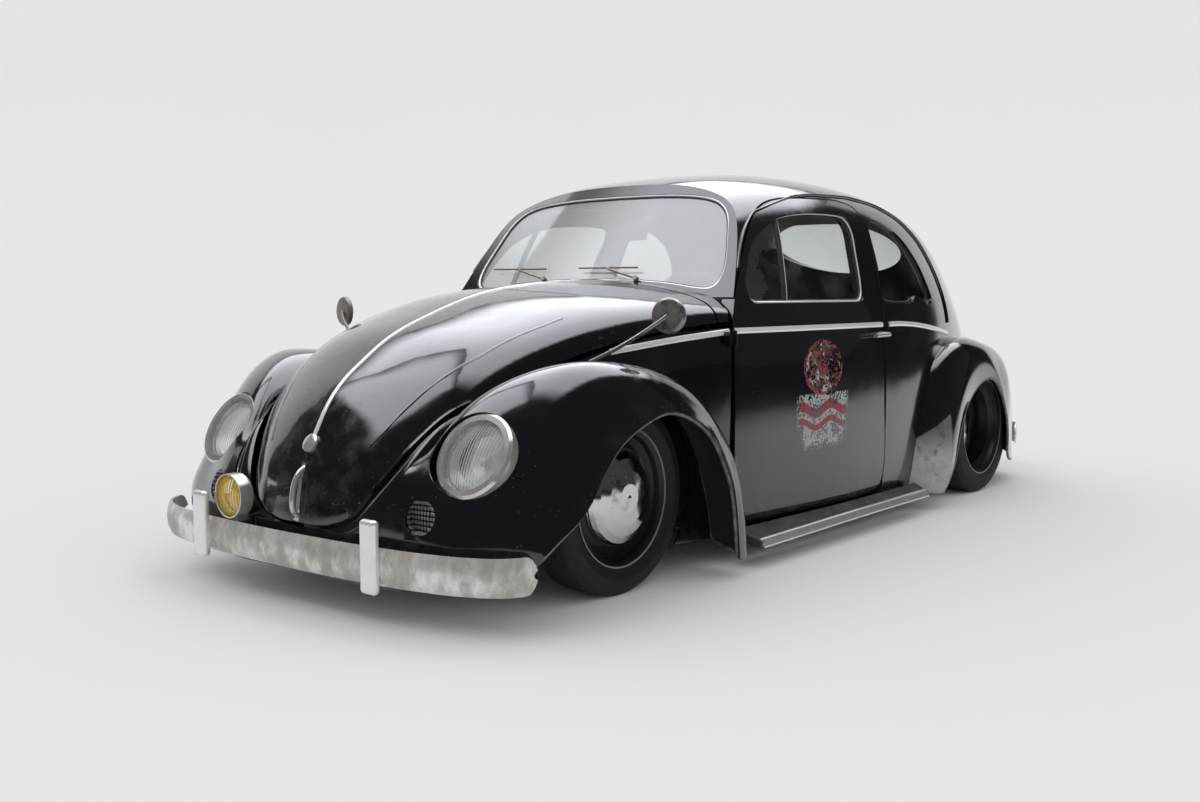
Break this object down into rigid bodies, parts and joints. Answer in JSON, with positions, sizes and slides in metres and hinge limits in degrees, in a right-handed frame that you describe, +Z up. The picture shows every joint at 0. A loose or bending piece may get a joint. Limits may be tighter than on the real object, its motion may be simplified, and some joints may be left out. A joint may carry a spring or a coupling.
{
  "type": "compact car",
  "caption": "Lowered rear-engined compact saloon with a domed hood, separate bulging fenders, running boards, opening doors and lids, and steered front wheels.",
  "frame": {"origin": "on the floor under the middle of the car", "axes": "+X to the nose, +Y to the car's left, +Z up"},
  "size_m": [4.0767, 1.5526, 1.3079],
  "materials": {
    "body_paint": "gloss blue-black paint with chips and small rust specks",
    "window_glass": "clear, faintly green",
    "lamp_glass": "clear fluted glass",
    "amber_glass": "yellow glass",
    "red_lens": "red lens",
    "bright_metal": "aged chrome with brown stains",
    "rusty_metal": "chrome gone rusty",
    "trim_metal": "satin",
    "wheel_steel": "semi-gloss black with a bright rim line and chromed caps",
    "tyre_rubber": "plain sidewalls",
    "underbody_steel": "dull, oily",
    "floor_paint": "dull black",
    "board_rubber": "worn ribbed mat with a bright outer strip",
    "dash_paint": "gloss",
    "ivory_plastic": "aged ivory",
    "seat_cloth": "tan, smooth"
  },
  "bodies": {
    "car_body": {"cowl": "body_paint", "dashboard": "dash_paint", "door_hinges": "body_paint", "engine": "underbody_steel", "exhaust": "underbody_steel", "fender_front_left": "body_paint", "fender_front_right": "body_paint", "fender_rear_left": "body_paint", "fender_rear_right": "body_paint", "floorpan": "floor_paint", "fog_lamp": "bright_metal", "fog_lens": "amber_glass", "front_axle_beam": "underbody_steel", "front_body": "body_paint", "front_bumper": "bright_metal", "front_seats": "seat_cloth", "headlamp_lenses": "lamp_glass", "headlamps": "bright_metal", "horn_grilles": "bright_metal", "luggage_tub": "floor_paint", "mirrors": "rusty_metal", "quarter_glass": "window_glass", "quarter_panel_left": "body_paint", "quarter_panel_right": "body_paint", "rear_axle": "underbody_steel", "rear_bumper": "bright_metal", "rear_panel": "body_paint", "rear_seat": "seat_cloth", "rear_window": "window_glass", "roof_shell": "body_paint", "running_boards": "board_rubber", "sills": "body_paint", "tail_lamps": "red_lens", "windscreen": "window_glass", "wipers": "trim_metal"},
    "door_left": {"door_left": "body_paint", "door_glass_left": "window_glass"},
    "door_right": {"door_right": "body_paint", "door_glass_right": "window_glass"},
    "hood": {"hood": "body_paint"},
    "engine_lid": {"engine_lid": "body_paint"},
    "knuckle_left": {"knuckle_left": "underbody_steel"},
    "knuckle_right": {"knuckle_right": "underbody_steel"},
    "wheel_front_left": {"wheel_front_left": "wheel_steel", "tyre_front_left": "tyre_rubber"},
    "wheel_front_right": {"wheel_front_right": "wheel_steel", "tyre_front_right": "tyre_rubber"},
    "wheel_rear_left": {"wheel_rear_left": "wheel_steel", "tyre_rear_left": "tyre_rubber"},
    "wheel_rear_right": {"wheel_rear_right": "wheel_steel", "tyre_rear_right": "tyre_rubber"},
    "steering_wheel": {"steering_wheel": "ivory_plastic"}
  },
  "joints": [
    {"name": "door_left_hinge", "type": "hinge", "parent": "car_body", "child": "door_left", "pos_m": [0.781, 0.655, 0.52], "axis": [0, 0, -1], "range_deg": [0, 65]},
    {"name": "door_right_hinge", "type": "hinge", "parent": "car_body", "child": "door_right", "pos_m": [0.781, -0.655, 0.52], "axis": [0, 0, 1], "range_deg": [0, 65]},
    {"name": "hood_hinge", "type": "hinge", "parent": "car_body", "child": "hood", "pos_m": [0.805, 0, 0.93], "axis": [0, -1, 0], "range_deg": [0, 60]},
    {"name": "engine_lid_hinge", "type": "hinge", "parent": "car_body", "child": "engine_lid", "pos_m": [-1.578, 0, 0.716], "axis": [0, 1, 0], "range_deg": [0, 55]},
    {"name": "steer_left", "type": "hinge", "parent": "car_body", "child": "knuckle_left", "pos_m": [1.293, 0.448, 0.283], "axis": [0, 0, 1], "range_deg": [-24, 24]},
    {"name": "steer_right", "type": "hinge", "parent": "car_body", "child": "knuckle_right", "pos_m": [1.293, -0.448, 0.283], "axis": [0, 0, 1], "range_deg": [-24, 24]},
    {"name": "steering_wheel_turn", "type": "hinge", "parent": "car_body", "child": "steering_wheel", "pos_m": [0.42, 0.31, 0.775], "axis": [0.8, 0, -0.6], "range_deg": [-340, 340]},
    {"name": "wheel_front_left_spin", "type": "hinge", "parent": "knuckle_left", "child": "wheel_front_left", "pos_m": [1.293, 0.553, 0.283], "axis": [0, 1, 0], "continuous": true},
    {"name": "wheel_front_right_spin", "type": "hinge", "parent": "knuckle_right", "child": "wheel_front_right", "pos_m": [1.293, -0.553, 0.283], "axis": [0, 1, 0], "continuous": true},
    {"name": "wheel_rear_left_spin", "type": "hinge", "parent": "car_body", "child": "wheel_rear_left", "pos_m": [-1.107, 0.624, 0.283], "axis": [0, 1, 0], "continuous": true},
    {"name": "wheel_rear_right_spin", "type": "hinge", "parent": "car_body", "child": "wheel_rear_right", "pos_m": [-1.107, -0.624, 0.283], "axis": [0, 1, 0], "continuous": true}
  ],
  "couplings": [
    {"joint": "steer_right", "follows": "steer_left", "ratio": 1},
    {"joint": "steering_wheel_turn", "follows": "steer_left", "ratio": -14}
  ]
}
